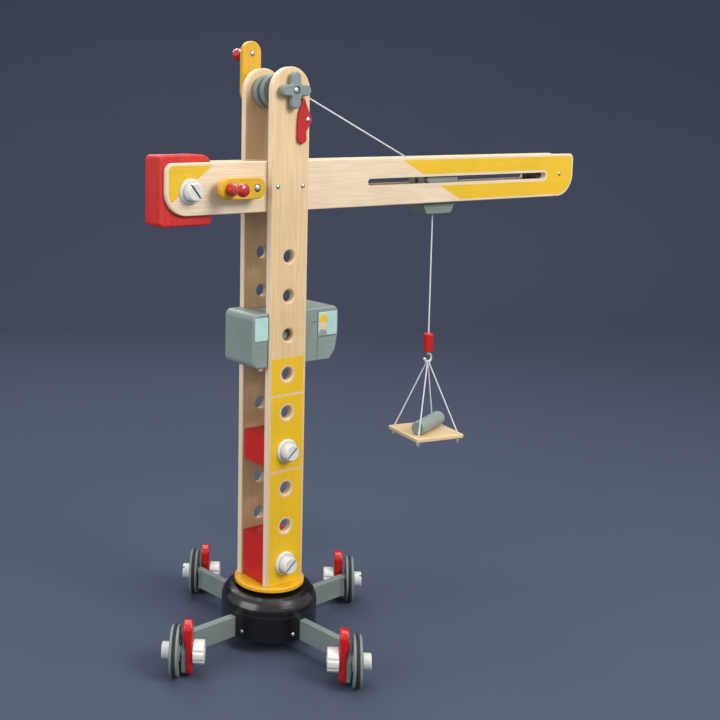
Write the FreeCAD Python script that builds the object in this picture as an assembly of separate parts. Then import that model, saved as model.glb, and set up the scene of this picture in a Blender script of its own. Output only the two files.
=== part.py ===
import FreeCAD, Part
import math
import os

# Toy tower crane: wooden mast and jib, plastic wheeled base, cord hoist.
# Frame: +Z up, floor at z = 0, mast axis is the Z axis, jib points along +X.
# Millimetres. The wheeled base is a cross frame turned by BASE_TURN about Z.

V = FreeCAD.Vector
os.makedirs("parts", exist_ok=True)

# ---------------------------------------------------------------- dimensions
PLANK_T = 9.6            # thickness of mast and jib planks
MAST_W = 60.0            # mast plank width
MAST_IN = 24.0           # half gap between the mast planks
MAST_OUT = MAST_IN + PLANK_T
MAST_Z0 = 86.0           # underside of the mast planks
WINCH_Z = 738.5          # winch shaft height, centre of the round mast head
HOLE_R = 8.25            # construction holes in the mast
HOLE_TOP = 526.7
HOLE_PITCH = 51.5
N_HOLES = 9
BOLT_HOLES = (5, 8)      # index of the holes that carry the frame bolts
JIB_OUT = 24.0 - 0.02    # half width over the jib planks
JIB_IN = JIB_OUT - PLANK_T
JIB_X0, JIB_X1 = -180.9, 566.5
JIB_Z0, JIB_Z1 = 585.0, 650.0
SLOT_X0, SLOT_X1 = 140.8, 503.0
SLOT_Z0, SLOT_Z1 = 612.9, 622.5
CW_X0, CW_X1, CW_Z0, CW_Z1 = -185.6, -110.5, 572.0, 659.5
CW_Y = 18.4              # half thickness of the counterweight
CW_BOLT = (-146.3, 615.0)
TRANS_DX = 286.5         # trolley centre along the jib at rest
ROPE_X = 288.5           # falling line of the hoist cord
BASE_TURN = -39.0
DRUM_R, DRUM_Z0, DRUM_Z1 = 64.5, 19.0, 75.5
DISC_R, DISC_Z0, DISC_Z1 = 47.0, 79.6, 85.98
AXLE_Z = 32.5
WHEEL_X, WHEEL_Y = 114.0, 123.2
ARM_ANG = 44.5           # direction of an outrigger from the cross frame's X axis
WHEEL_R = 31.9
TYRE_R = 32.5
WHEEL_T = 13.1
AXLE_R = 6.0
CLR = 0.05               # radial running clearance


# ------------------------------------------------------------------- helpers
def box(x0, x1, y0, y1, z0, z1):
    return Part.makeBox(x1 - x0, y1 - y0, z1 - z0, V(x0, y0, z0))


def cyl(r, p, q):
    p, q = V(*p), V(*q)
    d = q - p
    return Part.makeCylinder(r, d.Length, p, d)


def cone(r1, r2, p, q):
    p, q = V(*p), V(*q)
    d = q - p
    return Part.makeCone(r1, r2, d.Length, p, d)


def ball(r, p):
    return Part.makeSphere(r, V(*p))


def arc(c, r, a0, a1):
    """Arc in the XZ plane, angles in degrees from +X towards +Z."""
    pts = [V(c[0] + r * math.cos(math.radians(a)), 0, c[1] + r * math.sin(math.radians(a)))
           for a in (a0, (a0 + a1) / 2.0, a1)]
    return Part.Arc(pts[0], pts[1], pts[2]).toShape()


def line(a, b):
    return Part.makeLine(V(a[0], 0, a[1]), V(b[0], 0, b[1]))


def slab(edges, y0, y1):
    """Closed XZ outline drawn at y = 0, extruded from y0 to y1."""
    w = Part.Wire(Part.__sortEdges__(edges))
    f = Part.Face(w)
    s = f.extrude(V(0, y1 - y0, 0))
    s.translate(V(0, y0, 0))
    return s


def poly(pts, y0, y1):
    n = len(pts)
    return slab([line(pts[i], pts[(i + 1) % n]) for i in range(n)], y0, y1)


def rounded(x0, x1, z0, z1, y0, y1, rbl, rbr, rtr, rtl):
    """Rectangle in XZ with its own radius at each corner."""
    e = []
    e.append(line((x0 + rbl, z0), (x1 - rbr, z0)))
    e.append(arc((x1 - rbr, z0 + rbr), rbr, -90, 0))
    e.append(line((x1, z0 + rbr), (x1, z1 - rtr)))
    e.append(arc((x1 - rtr, z1 - rtr), rtr, 0, 90))
    e.append(line((x1 - rtr, z1), (x0 + rtl, z1)))
    e.append(arc((x0 + rtl, z1 - rtl), rtl, 90, 180))
    e.append(line((x0, z1 - rtl), (x0, z0 + rbl)))
    e.append(arc((x0 + rbl, z0 + rbl), rbl, 180, 270))
    e = [k for k in e if k.Length > 1e-6]
    return slab(e, y0, y1)


def stadium(c0, c1, r, y0, y1):
    """Bar with round ends from c0 to c1 (XZ points)."""
    d = V(c1[0] - c0[0], 0, c1[1] - c0[1])
    u = d.normalize()
    n = V(-u.z, 0, u.x)
    a, b = V(c0[0], 0, c0[1]), V(c1[0], 0, c1[1])
    e = [Part.makeLine(a + n * r, b + n * r),
         Part.Arc(b + n * r, b + u * r, b - n * r).toShape(),
         Part.makeLine(b - n * r, a - n * r),
         Part.Arc(a - n * r, a - u * r, a + n * r).toShape()]
    return slab(e, y0, y1)


def lathe(profile, origin, axis):
    """Revolve (radius, height) points about the axis through the origin."""
    pts = [V(r, 0, h) for r, h in profile]
    w = Part.makePolygon(pts + [pts[0]])
    s = Part.Face(w).revolve(V(0, 0, 0), V(0, 0, 1), 360)
    if s.Volume < 0:
        s.reverse()
    s.Placement = FreeCAD.Placement(V(*origin), FreeCAD.Rotation(V(0, 0, 1), V(*axis)))
    return s


def soften(shape, r, test):
    """Round the edges that pass the test; leave the shape as it is if that fails."""
    es = [e for e in shape.Edges if test(e)]
    if not es:
        return shape
    try:
        s = shape.makeFillet(r, es)
        if s.isValid() and s.Volume > 0.5 * shape.Volume:
            return s
    except Exception:
        pass
    return shape


def at_y(e, ys):
    b = e.BoundBox
    return b.YLength < 1e-3 and any(abs(b.YMin - y) < 1e-3 for y in ys)


def turned(s):
    s = s.copy()
    s.rotate(V(0, 0, 0), V(0, 0, 1), BASE_TURN)
    return s


def save(name, *solids):
    out = []
    for s in solids:
        out += list(s.Solids)
    for s in out:
        assert s.isValid() and s.isClosed() and s.Volume > 0, name
    shape = out[0] if len(out) == 1 else Part.makeCompound(out)
    shape.exportStep("parts/%s.step" % name)


def slot_cut(c, axis, r, depth, w, turn=40):
    """Screwdriver slot on the end face whose centre is c, cut along -axis."""
    a = V(*axis)
    s = Part.makeBox(2.2 * r, w, depth + 1, V(-1.1 * r, -w / 2.0, -depth))
    s.rotate(V(0, 0, 0), V(0, 0, 1), turn)
    s.Placement = FreeCAD.Placement(V(*c), FreeCAD.Rotation(V(0, 0, 1), a)).multiply(s.Placement)
    return s


def knob_nut(r, r_bore, h, origin, axis):
    """Round nut with eight grip scallops."""
    s = lathe([(r_bore, 0), (r - 1.2, 0), (r, 1.2), (r, h - 1.2), (r - 1.2, h), (r_bore, h)],
              (0, 0, 0), (0, 0, 1))
    for k in range(8):
        a = math.radians(22.5 + 45 * k)
        s = s.cut(Part.makeCylinder(3.2, h + 2, V((r + 2.0) * math.cos(a), (r + 2.0) * math.sin(a), -1)))
    s.Placement = FreeCAD.Placement(V(*origin), FreeCAD.Rotation(V(0, 0, 1), V(*axis)))
    return s


def frame_bolt(x, z, y_face, y_end, turn=40):
    """Plastic bolt: flange and slotted head at the front face, plain shank to the back."""
    flange = lathe([(0, 0), (15.7, 0), (15.7, 1.6), (14.4, 3.0), (0, 3.0)], (x, y_face, z), (0, -1, 0))
    head = lathe([(0, 2.9), (11.4, 2.9), (11.0, 12.6), (9.9, 13.8), (0, 13.8)], (x, y_face, z), (0, -1, 0))
    shank = cyl(HOLE_R - CLR, (x, y_face - 0.5, z), (x, y_end, z))
    b = flange.fuse(head).fuse(shank).removeSplitter()
    return b.cut(slot_cut((x, y_face - 13.8, z), (0, -1, 0), 11.5, 3.2, 2.6, turn))


# ------------------------------------------------------------------ the mast
def mast_plank(y0, y1, y_face):
    e = [line((-30, MAST_Z0), (30, MAST_Z0)), line((30, MAST_Z0), (30, WINCH_Z)),
         arc((0, WINCH_Z), 30, 0, 180), line((-30, WINCH_Z), (-30, MAST_Z0))]
    s = slab(e, y0, y1)
    s = soften(s, 1.6, lambda k: at_y(k, (y0, y1)) and k.BoundBox.ZMax > MAST_Z0 + 1)
    for i in range(N_HOLES):
        z = HOLE_TOP - HOLE_PITCH * i
        s = s.cut(cyl(HOLE_R, (0, y0 - 1, z), (0, y1 + 1, z)))
        if i not in BOLT_HOLES:
            d = -1 if y_face < 0 else 1
            for yy, dd in ((y_face, d), (y_face - d * PLANK_T, -d)):
                s = s.cut(cone(HOLE_R + 2.0, HOLE_R - 0.01, (0, yy + dd * 0.01, z), (0, yy - dd * 1.7, z)))
    s = s.cut(cyl(6.0 + CLR, (0, y0 - 1, WINCH_Z), (0, y1 + 1, WINCH_Z)))
    for x in (-20, 20):
        s = s.cut(cyl(1.8, (x, y0 - 1, 617.5), (x, y1 + 1, 617.5)))
    if y_face < 0:
        s = s.cut(cyl(1.8, (PAWL[0], y_face - 1, PAWL[1]), (PAWL[0], y1 - 2.0, PAWL[1])))
    return s


PAWL = (23.5, 702.0)
save("mast_plank_front", mast_plank(-MAST_OUT, -MAST_IN, -MAST_OUT))
save("mast_plank_back", mast_plank(MAST_IN, MAST_OUT, MAST_OUT))


def spacer(z0, z1, bolt_z):
    s = box(-27, 27, -MAST_IN + 0.01, MAST_IN - 0.01, z0, z1)
    s = soften(s, 2.0, lambda k: abs(k.BoundBox.ZLength - (z1 - z0)) < 1e-3)
    return s.cut(cyl(HOLE_R, (0, -40, bolt_z), (0, 40, bolt_z)))


Z_B6 = HOLE_TOP - HOLE_PITCH * 5
Z_B9 = HOLE_TOP - HOLE_PITCH * 8
low = spacer(MAST_Z0, 148.0, Z_B9)
low = low.cut(cyl(10.5, (0, 0, MAST_Z0 - 1), (0, 0, 98.0)))
save("lower_spacer_block", low)
save("middle_spacer_block", spacer(248.8, 288.8, Z_B6))

save("mast_bolts", *[frame_bolt(0, z, -MAST_OUT, MAST_OUT + 15.6) for z in (Z_B6, Z_B9)])
save("frame_nuts", *([knob_nut(15.6, HOLE_R, 15.5, (0, MAST_OUT + 0.02, z), (0, 1, 0)) for z in (Z_B6, Z_B9)]
                     + [knob_nut(15.6, HOLE_R, 15.5, (CW_BOLT[0], JIB_OUT + 0.02, CW_BOLT[1]), (0, 1, 0))]))
save("counterweight_bolt", frame_bolt(CW_BOLT[0], CW_BOLT[1], -JIB_OUT, JIB_OUT + 15.6, 128))

# ------------------------------------------------------------------- the jib
CRANK = (-59.5, 617.5)      # trolley crank pivot
END_PIN = (508.5, 617.7)    # end roller axle, just beyond the slot
TIP = (534.0, 619.5)


def jib_plank(y0, y1):
    s = rounded(JIB_X0, JIB_X1, JIB_Z0, JIB_Z1, y0, y1, 30, 34, 8, 11)
    s = soften(s, 1.5, lambda k: at_y(k, (y0, y1)))
    hz = (SLOT_Z1 - SLOT_Z0) / 2.0
    mz = (SLOT_Z1 + SLOT_Z0) / 2.0
    s = s.cut(stadium((SLOT_X0 + hz, mz), (SLOT_X1 - hz, mz), hz, y0 - 1, y1 + 1))
    s = s.cut(cyl(HOLE_R, (CW_BOLT[0], y0 - 1, CW_BOLT[1]), (CW_BOLT[0], y1 + 1, CW_BOLT[1])))
    s = s.cut(cyl(5.0 + CLR, (CRANK[0], y0 - 1, CRANK[1]), (CRANK[0], y1 + 1, CRANK[1])))
    for x, z in ((-20, 617.5), (20, 617.5), TIP):
        s = s.cut(cyl(1.8, (x, y0 - 1, z), (x, y1 + 1, z)))
    # blind sockets for the end roller, open to the inner face
    yi = y1 if y1 < 0 else y0
    d = 1 if y1 < 0 else -1
    s = s.cut(cyl(2.55, (END_PIN[0], yi + d * 1, END_PIN[1]), (END_PIN[0], yi - d * 4.0, END_PIN[1])))
    return s


save("jib_plank_front", jib_plank(-JIB_OUT, -JIB_IN))
save("jib_plank_back", jib_plank(JIB_IN, JIB_OUT))
roller = lathe([(0, -(JIB_IN - 0.3)), (14.0, -(JIB_IN - 0.3)), (15.0, -(JIB_IN - 1.3)), (15.0, -4), (12.4, -2.2), (12.4, 2.2), (15.0, 4),
                (15.0, JIB_IN - 1.3), (14.0, JIB_IN - 0.3), (0, JIB_IN - 0.3)], (END_PIN[0], 0, END_PIN[1]), (0, 1, 0))
roller = roller.fuse(cyl(2.5, (END_PIN[0], -(JIB_IN + 3.8), END_PIN[1]), (END_PIN[0], JIB_IN + 3.8, END_PIN[1])))
save("jib_end_roller", roller.removeSplitter())
tip = rounded(TIP[0] - 9, TIP[0] + 17, 598, 632, -JIB_IN + 0.01, JIB_IN - 0.01, 4, 4, 4, 4)
tip = tip.cut(cyl(1.8, (TIP[0], -30, TIP[1]), (TIP[0], 30, TIP[1])))
save("jib_tip_spacer", tip)

# Counterweight: thick block, shallow rebates take the two jib planks.
cw = rounded(CW_X0, CW_X1, CW_Z0, CW_Z1, -CW_Y, CW_Y, 6, 5, 16, 6)
cw = soften(cw, 2.5, lambda k: at_y(k, (-CW_Y, CW_Y)))
for sgn in (-1, 1):
    y0, y1 = sorted((sgn * JIB_IN - sgn * 0.01, sgn * (CW_Y + 3)))
    cut = rounded(JIB_X0 - 0.3, CW_X1 + 30, JIB_Z0 - 0.3, JIB_Z1 + 0.3, y0, y1, 30, 1, 1, 11)
    cw = cw.cut(cut)
cw = cw.cut(cyl(HOLE_R, (CW_BOLT[0], -40, CW_BOLT[1]), (CW_BOLT[0], 40, CW_BOLT[1])))
save("counterweight", cw)


def wood_screw(p, d, length, r=1.75, rh=3.1):
    """Small round-head screw, head outside the point p, shank along d."""
    dx, dy, dz = d
    q = (p[0] + dx * length, p[1] + dy * length, p[2] + dz * length)
    head = lathe([(0, 0), (rh, 0), (rh * 0.93, 0.7), (rh * 0.7, 1.3), (rh * 0.35, 1.65), (0, 1.75)], p, (-dx, -dy, -dz))
    s = head.fuse(cyl(r, (p[0] - dx * 0.3, p[1] - dy * 0.3, p[2] - dz * 0.3), q)).removeSplitter()
    c = (p[0] - dx * 1.75, p[1] - dy * 1.75, p[2] - dz * 1.75)
    a = (-dx, -dy, -dz)
    sl = slot_cut(c, a, rh * 0.62, 0.8, 0.7)
    return s.cut(sl)


screws = []
for x in (-20, 20):
    screws.append(wood_screw((x, -MAST_OUT - 0.01, 617.5), (0, 1, 0), 17.5))
    screws.append(wood_screw((x, MAST_OUT + 0.01, 617.5), (0, -1, 0), 17.5))
screws.append(wood_screw((TIP[0], -JIB_OUT - 0.01, TIP[1]), (0, 1, 0), 20.0))
screws.append(wood_screw((TIP[0], JIB_OUT + 0.01, TIP[1]), (0, -1, 0), 20.0))
save("frame_screws", *screws)

# -------------------------------------------------------------------- winch
shaft = cyl(6.0, (0, -40.4, WINCH_Z), (0, 59.2, WINCH_Z))
shaft = shaft.cut(cyl(1.75, (0, -50, WINCH_Z), (0, -26, WINCH_Z)))
save("winch_shaft", shaft)
spool = lathe([(6.0 + 0.02, -3.0), (21.5, -3.0), (21.5, 5.5), (20.6, 6.2), (14.0, 7.0), (14.0, 11.5),
               (20.6, 12.3), (21.5, 13.0), (21.5, 20.5), (20.5, 21.4), (6.0 + 0.02, 21.4)],
              (0, 0, WINCH_Z), (0, 1, 0))
sleeve = lathe([(6.02, -23.7), (10.0, -23.7), (10.0, -2.9), (6.02, -2.9)], (0, 0, WINCH_Z), (0, 1, 0))
save("winch_spool", spool.fuse(sleeve).removeSplitter())

CROSS_Y0, CROSS_Y1 = -44.4, -38.2
cross = None
for a in (0, 90):
    c, s_ = math.cos(math.radians(a)), math.sin(math.radians(a))
    arm = stadium((-16.2 * c, WINCH_Z - 16.2 * s_), (16.2 * c, WINCH_Z + 16.2 * s_), 7.0, CROSS_Y0, CROSS_Y1)
    cross = arm if cross is None else cross.fuse(arm)
cross = cross.fuse(cyl(8.6, (0, -33.8, WINCH_Z), (0, CROSS_Y0, WINCH_Z))).removeSplitter()
cross = soften(cross, 3.0, lambda k: abs(k.BoundBox.YLength - (CROSS_Y1 - CROSS_Y0)) < 1e-3 and k.BoundBox.XLength < 1e-3
               and abs(abs(k.BoundBox.XMin) - 7.0) < 0.3)
cross = soften(cross, 1.6, lambda k: at_y(k, (CROSS_Y0,)))
cross = cross.cut(cyl(6.02, (0, -30, WINCH_Z), (0, -40.42, WINCH_Z)))
cross = cross.cut(cyl(5.4, (0, CROSS_Y0 + 1.6, WINCH_Z), (0, CROSS_Y0 - 1, WINCH_Z)))
cross = cross.cut(cyl(1.75, (0, -40, WINCH_Z), (0, -60, WINCH_Z)))
save("ratchet_cross", cross)
save("ratchet_screw", wood_screw((0, CROSS_Y0 + 1.59, WINCH_Z), (0, 1, 0), 14.0, rh=4.2))


def crank_arm(c, d, y0, y1, r_bore, knob_at, r, length):
    """Flat crank arm from pivot c along unit direction d (XZ)."""
    e = (c[0] + d[0] * length, c[1] + d[1] * length)
    s = stadium(c, e, r, y0, y1)
    s = soften(s, 1.4, lambda k: at_y(k, (y0, y1)))
    s = s.cut(cyl(r_bore + 0.02, (c[0], y0 - 1, c[1]), (c[0], y1 + 1, c[1])))
    k = (c[0] + d[0] * knob_at, c[1] + d[1] * knob_at)
    return s.cut(cyl(2.0, (k[0], y0 - 1, k[1]), (k[0], y1 + 1, k[1]))), k


def knob(k, y0, sgn):
    """Turned grip with a waist, 30 long, starting at y0 and pointing along sgn*Y."""
    prof = [(0, 0), (7.6, 0), (8.2, 1.0), (8.2, 6.5), (7.4, 9.5), (6.7, 13.0), (6.6, 16.0), (7.2, 19.0),
            (8.2, 22.0), (8.5, 25.0), (8.0, 27.6), (6.4, 29.4), (3.6, 30.3), (0, 30.5)]
    s = lathe(prof, (k[0], y0, k[1]), (0, sgn, 0))
    return s.cut(cyl(1.75, (k[0], y0 - sgn, k[1]), (k[0], y0 + sgn * 14, k[1])))


WC_Y0, WC_Y1 = 51.4, 59.2
arm, k = crank_arm((0, WINCH_Z), (0, 1), WC_Y0, WC_Y1, 6.0, 50.0, 15.0, 51.5)
hub = lathe([(6.02, MAST_OUT + 0.3), (9.5, MAST_OUT + 0.3), (9.5, WC_Y0 + 0.1), (6.02, WC_Y0 + 0.1)], (0, 0, WINCH_Z), (0, 1, 0))
save("winch_crank_arm", arm.fuse(hub).removeSplitter())
save("winch_crank_knob", knob(k, WC_Y1 + 0.02, 1))
save("winch_crank_screw", wood_screw((k[0], WC_Y0 - 0.01, k[1]), (0, 1, 0), 21.5, rh=3.4))

# -------------------------------------------------- pawl on the front plank
PY0, PY1 = -37.9, -34.0
pawl_pts = [(14.6, 730.5), (18.6, 727.5), (25.0, 713.0), (29.0, 706.0), (30.6, 701.5), (28.8, 697.0),
            (21.8, 688.0), (21.2, 683.0), (22.4, 677.0), (19.8, 672.6), (14.5, 671.2), (9.4, 673.8), (8.0, 679.0),
            (8.3, 700.0), (9.4, 711.0), (12.0, 717.0)]
pawl = poly(pawl_pts, PY0, PY1)
pawl = soften(pawl, 1.6, lambda k: abs(k.BoundBox.YLength - (PY1 - PY0)) < 1e-3)
pawl = soften(pawl, 0.9, lambda k: at_y(k, (PY0,)))
pawl = pawl.cut(cyl(1.75 + CLR, (PAWL[0], -50, PAWL[1]), (PAWL[0], -30, PAWL[1])))
save("pawl", pawl)
save("pawl_screw", wood_screw((PAWL[0], PY0 - 0.05, PAWL[1]), (0, 1, 0), 11.6, rh=3.6))

# ----------------------------------------------------- trolley crank and reel
TC_Y0, TC_Y1 = -43.6, -35.8
arm, k = crank_arm(CRANK, (-1, 0), TC_Y0, TC_Y1, 5.0, 40.0, 13.5, 42.5)
hub = lathe([(5.02, -TC_Y1 - 0.1), (8.0, -TC_Y1 - 0.1), (8.0, JIB_OUT + 0.3), (5.02, JIB_OUT + 0.3)],
            (CRANK[0], 0, CRANK[1]), (0, -1, 0))
save("trolley_crank_arm", arm.fuse(hub).removeSplitter())
save("trolley_crank_knob", knob(k, TC_Y0 - 0.02, -1))
reel = lathe([(0, -JIB_IN + 0.3), (11.5, -JIB_IN + 0.3), (11.5, -7.0), (8.5, -5.5), (8.5, 5.5), (11.5, 7.0),
              (11.5, JIB_IN - 0.3), (0, JIB_IN - 0.3)], (CRANK[0], 0, CRANK[1]), (0, 1, 0))
reel = reel.fuse(cyl(5.0, (CRANK[0], TC_Y0 + 1.0, CRANK[1]), (CRANK[0], JIB_OUT - 0.5, CRANK[1]))).removeSplitter()
reel = reel.cut(cyl(1.75, (CRANK[0], TC_Y0 - 2, CRANK[1]), (CRANK[0], TC_Y0 + 14, CRANK[1])))
save("trolley_reel", reel)
save("trolley_crank_screw", wood_screw((CRANK[0], TC_Y0 - 0.01, CRANK[1]), (0, 1, 0), 14.0, rh=4.4))

# ------------------------------------------------------------------- trolley
TY = JIB_IN - 0.15
tpts = [(-32, 634), (-32, 583), (-24, 568.5), (24, 568.5), (32, 583), (32, 634)]
tr = poly([(TRANS_DX + a, b) for a, b in tpts], -TY, TY)
tr = soften(tr, 2.0, lambda k: abs(k.BoundBox.YLength - 2 * TY) < 1e-3)
lug_y = JIB_OUT - 4.0
hz = (SLOT_Z1 - SLOT_Z0) / 2.0 - 0.15
mz = (SLOT_Z1 + SLOT_Z0) / 2.0
tr = tr.fuse(stadium((TRANS_DX - 30 + hz, mz), (TRANS_DX + 30 - hz, mz), hz, -lug_y, lug_y)).removeSplitter()
# cord channel through the middle, and the cross bore for the guide pin
tr = tr.cut(box(ROPE_X - 40, ROPE_X + 5.5, -3.2, 3.2, 604, 640))
tr = tr.cut(box(ROPE_X - 5.5, ROPE_X + 5.5, -3.2, 3.2, 560, 610))
PIN = (ROPE_X - 5.0, 622.0)
tr = tr.cut(cyl(2.5, (PIN[0], -10, PIN[1]), (PIN[0], 10, PIN[1])))
save("trolley", tr)
pin = cyl(2.48, (PIN[0], -9.8, PIN[1]), (PIN[0], 9.8, PIN[1]))
pin = pin.fuse(lathe([(0, -3.0), (4.6, -3.0), (3.6, -1.2), (3.6, 1.2), (4.6, 3.0), (0, 3.0)], (PIN[0], 0, PIN[1]), (0, 1, 0)))
save("trolley_guide_pin", pin.removeSplitter())

# -------------------------------------------------------------- hook and load
HOOK_TOP, HOOK_BOT = 391.0, 363.3
wgt = lathe([(1.6, HOOK_BOT), (6.6, HOOK_BOT), (7.3, HOOK_BOT + 0.9), (7.3, HOOK_TOP - 2.0), (6.4, HOOK_TOP - 0.7),
             (4.6, HOOK_TOP), (1.6, HOOK_TOP)], (ROPE_X, 0, 0), (0, 0, 1))
save("hook_weight", wgt)
HR, HC = 6.6, 353.5          # hook ring radius and centre height
stem = cyl(1.55, (ROPE_X, 0, HC + HR + 1.2), (ROPE_X, 0, HOOK_BOT + 12))
segs = [V(ROPE_X, 0, HC + HR + 2.2)]
path = []
n = 14
pts = []
for i in range(n + 1):
    a = math.radians(90 - 262.0 * i / n)
    pts.append(V(ROPE_X + HR * math.cos(a), 0, HC + HR * math.sin(a)))
hk = stem
arc_mid = V(ROPE_X + HR * math.cos(math.radians(-41)), 0, HC + HR * math.sin(math.radians(-41)))
w = Part.Wire([Part.Arc(pts[0], arc_mid, pts[-1]).toShape()])
prof = Part.Wire([Part.makeCircle(1.55, pts[0], V(1, 0, 0))])
ring = w.makePipeShell([prof], True, False)
hk = hk.fuse(ring)
hk = hk.fuse(ball(1.55, (ROPE_X, 0, HC + HR)))
hk = hk.fuse(cyl(1.55, (ROPE_X, 0, HC + HR), (ROPE_X, 0, HC + HR + 3)))
hk = hk.fuse(ball(2.3, tuple(pts[-1]))).removeSplitter()
save("hook", hk)

PLAT_Z0, PLAT_Z1, PLAT_S, PLAT_TURN = 239.0, 244.7, 80.0, -12.5
HOLE_IN = 33.0
h = PLAT_S / 2.0
plat = Part.makeBox(PLAT_S, PLAT_S, PLAT_Z1 - PLAT_Z0, V(-h, -h, PLAT_Z0))
plat = soften(plat, 3.0, lambda k: abs(k.BoundBox.ZLength - (PLAT_Z1 - PLAT_Z0)) < 1e-3)
plat = soften(plat, 1.2, lambda k: k.BoundBox.ZLength < 1e-3)
cords = lathe([(1.8, -1.5), (2.9, -1.5), (2.9, 1.5), (1.8, 1.5)], (ROPE_X, 0, HC - HR), (1, 0, 0))
ca, sa = math.cos(math.radians(PLAT_TURN)), math.sin(math.radians(PLAT_TURN))
for sx in (-1, 1):
    for sy in (-1, 1):
        lx, ly = sx * HOLE_IN, sy * HOLE_IN
        plat = plat.cut(cyl(1.9, (lx, ly, PLAT_Z0 - 1), (lx, ly, PLAT_Z1 + 1)))
        gx, gy = ROPE_X + lx * ca - ly * sa, lx * sa + ly * ca
        ux, uy = (gx - ROPE_X) / 46.7, gy / 46.7
        p0 = (ROPE_X + ux * 1.2, uy * 1.2, HC - HR - 2.55)
        p1 = (gx, gy, PLAT_Z1 + 1.6)
        c = cyl(1.0, p0, p1).fuse(ball(1.0, p1)).fuse(cyl(1.0, p1, (gx, gy, PLAT_Z0 - 2.5)))
        c = c.fuse(ball(2.6, (gx, gy, PLAT_Z0 - 2.75)))
        cords = cords.fuse(c)
plat.rotate(V(0, 0, 0), V(0, 0, 1), PLAT_TURN)
plat.translate(V(ROPE_X, 0, 0))
save("load_platform", plat)
save("platform_cords", cords.removeSplitter())

LOG_A = (256.0, -16.0)
LOG_B = (326.9, 11.3)
LR = 10.4
lz = PLAT_Z1 + LR + 0.05
d = V(LOG_B[0] - LOG_A[0], LOG_B[1] - LOG_A[1], 0)
ll = d.Length
logp = [(0, 0), (LR - 2.2, 0), (LR - 0.6, 0.7), (LR, 2.4), (LR, ll - 2.4), (LR - 0.6, ll - 0.7), (LR - 2.2, ll), (0, ll)]
save("load_log", lathe(logp, (LOG_A[0], LOG_A[1], lz), (d.x, d.y, 0)))

# --------------------------------------------------------------- hoist cord
cord_r = 1.0
up0 = (9.3, 9.0, WINCH_Z + 15.6)
up1 = (PIN[0] - 2.0, 0.0, PIN[1] + 5.4)
save("hoist_cord_upper", cyl(cord_r, up0, up1))
save("hoist_cord_lower", cyl(cord_r, (ROPE_X, 0, HOOK_TOP + 0.4), (ROPE_X, 0, 617.0)))

# ----------------------------------------------------------------------- cab
CZ0, CZ1 = 383.5, 455.0
cab_l = rounded(-55, -MAST_W / 2 - 0.4, CZ0, CZ1, -31.5, 31.5, 10, 1, 1, 9)
cab_r = slab([line((30.4, CZ0), (72, CZ0)), line((72, CZ0), (82, CZ0 + 12)), line((82, CZ0 + 12), (86.5, CZ0 + 36)),
              line((86.5, CZ0 + 36), (86.5, CZ1 - 6)), line((86.5, CZ1 - 6), (80.5, CZ1)), line((80.5, CZ1), (30.4, CZ1)),
              line((30.4, CZ1), (30.4, CZ0))], -31.5, 31.5)
cab_l = soften(cab_l, 2.6, lambda k: at_y(k, (-31.5, 31.5)) and k.BoundBox.XMin < -31.5)
cab_r = soften(cab_r, 2.0, lambda k: at_y(k, (-31.5, 31.5)) and k.BoundBox.XMax > 31.5)
cab_m = box(-31.4, 31.4, -MAST_IN + 0.2, MAST_IN - 0.2, CZ0 + 2, CZ1 - 2)
cab = cab_l.fuse(cab_m).fuse(cab_r).removeSplitter()
save("cab", cab)

# ---------------------------------------------------------------------- base
drum = lathe([(4.05, DRUM_Z1 - 5), (4.05, DRUM_Z1), (44.0, DRUM_Z1), (49.0, DRUM_Z1), (53.4, DRUM_Z1 - 0.6),
              (57.4, DRUM_Z1 - 2.6), (60.7, DRUM_Z1 - 6.0), (63.0, DRUM_Z1 - 10.5), (64.1, DRUM_Z1 - 13.5),
              (DRUM_R, DRUM_Z1 - 16.5), (DRUM_R, DRUM_Z0 + 1.2), (DRUM_R - 1.2, DRUM_Z0), (51.0, DRUM_Z0), (51.0, 61.0),
              (47.0, DRUM_Z1 - 6.0), (12.0, DRUM_Z1 - 6.0), (12.0, 52.0), (4.05, 52.0)], (0, 0, 0), (0, 0, 1))
ARM_Z0, ARM_Z1, ARM_T = 19.0, 46.2, 10.0
FOOT_X0, FOOT_X1 = 100.0, 105.5
dscr = []
for qx in (-1, 1):
    for qy in (-1, 1):
        ang = math.degrees(math.atan2(qy * math.sin(math.radians(ARM_ANG)), qx * math.cos(math.radians(ARM_ANG))))
        n_ = Part.makeBox(60, ARM_T + 0.3, ARM_Z1 - DRUM_Z0 + 5.2, V(36, -(ARM_T + 0.3) / 2, DRUM_Z0 - 5))
        n_.rotate(V(0, 0, 0), V(0, 0, 1), ang)
        drum = drum.cut(n_)
        for off in (-14.0, 14.0):
            a = math.radians(ang + off)
            p = (DRUM_R * math.cos(a), DRUM_R * math.sin(a), 29.0)
            dd = (-math.cos(a), -math.sin(a), 0)
            q = (p[0] + dd[0] * 12, p[1] + dd[1] * 12, 29.0)
            drum = drum.cut(cyl(1.8, (p[0] - dd[0], p[1] - dd[1], 29.0), q))
            dscr.append(turned(wood_screw((p[0] - dd[0] * 0.05, p[1] - dd[1] * 0.05, 29.0), dd, 11.0, rh=2.7)))
save("base_drum", turned(drum))
save("drum_screws", *dscr)

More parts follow.
